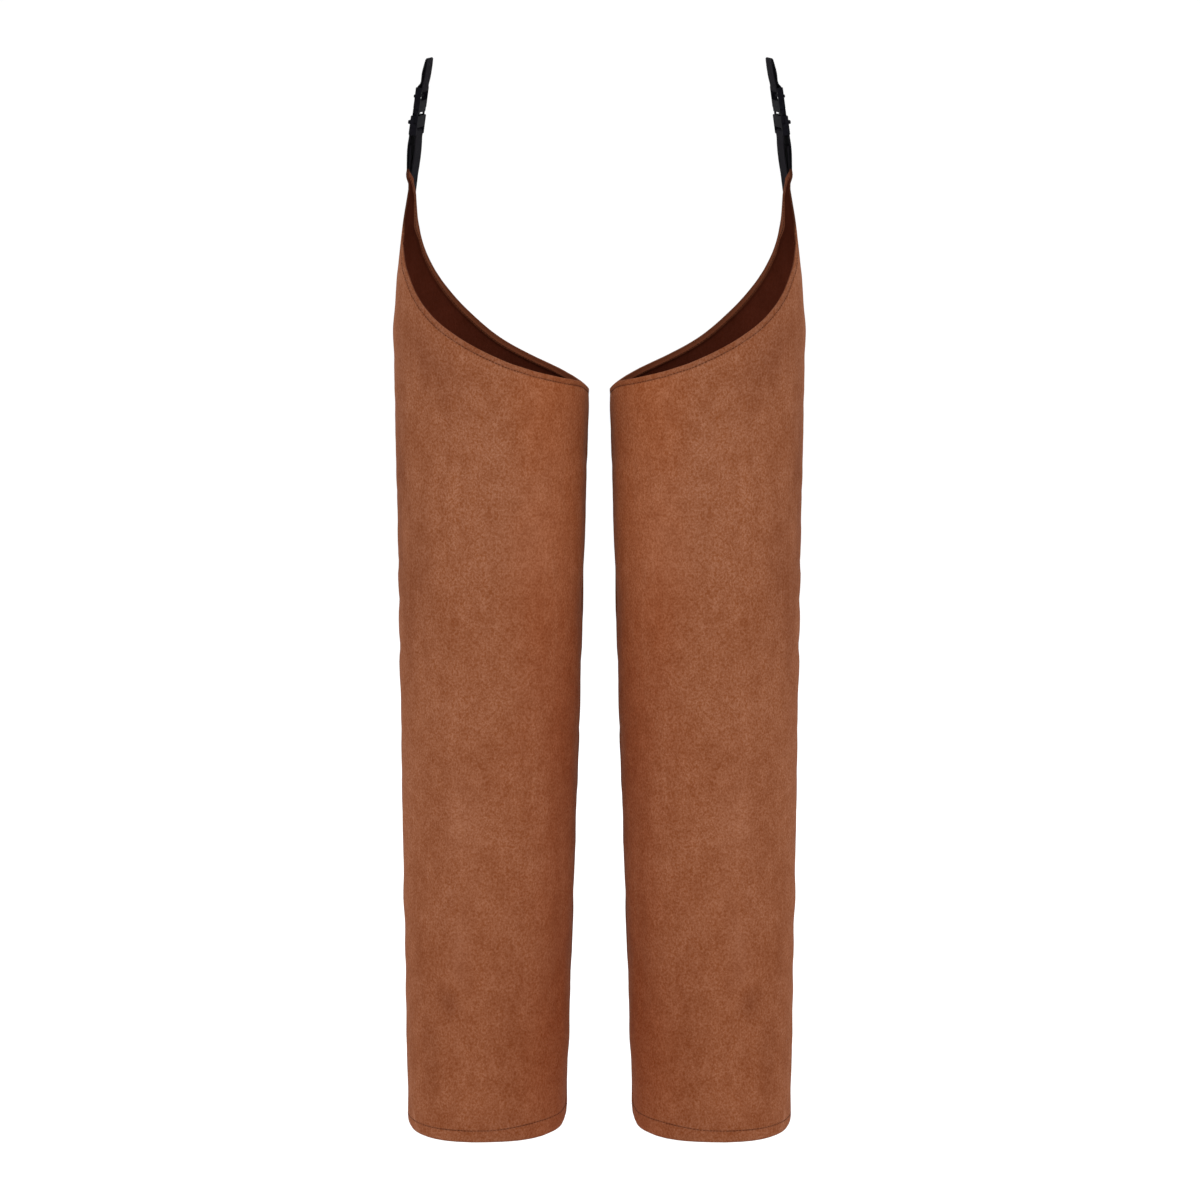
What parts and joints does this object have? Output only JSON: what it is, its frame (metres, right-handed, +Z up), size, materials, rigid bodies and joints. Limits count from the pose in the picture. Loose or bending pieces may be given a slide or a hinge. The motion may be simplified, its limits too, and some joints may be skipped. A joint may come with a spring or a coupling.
{
  "type": "suede chaps",
  "caption": "Pull-on brown suede chaps as worn: open, tapering leg tubes with sloping tops, each hung from the belt on a black webbing strap with a side-release buckle.",
  "frame": {"origin": "in the wearer's middle plane, at the height of the middle of the belt loops and level fore and aft with the middle of the legs", "axes": "+Z up, -Y out of the wearer's front, +X to the wearer's left; the garment hangs as worn"},
  "size_m": [0.4002, 0.1992, 1.0584],
  "materials": {
    "suede": "napped brown suede, darker inside",
    "webbing": "woven black webbing",
    "plastic": "moulded black plastic"
  },
  "bodies": {
    "root": {"right_leg_front": "suede", "right_leg_back": "suede", "left_leg_front": "suede", "left_leg_back": "suede", "right_lower_strap": "webbing", "left_lower_strap": "webbing", "right_belt_loop": "webbing", "left_belt_loop": "webbing", "right_buckle_socket": "plastic", "left_buckle_socket": "plastic", "right_buckle_plug": "plastic", "left_buckle_plug": "plastic"}
  },
  "joints": []
}
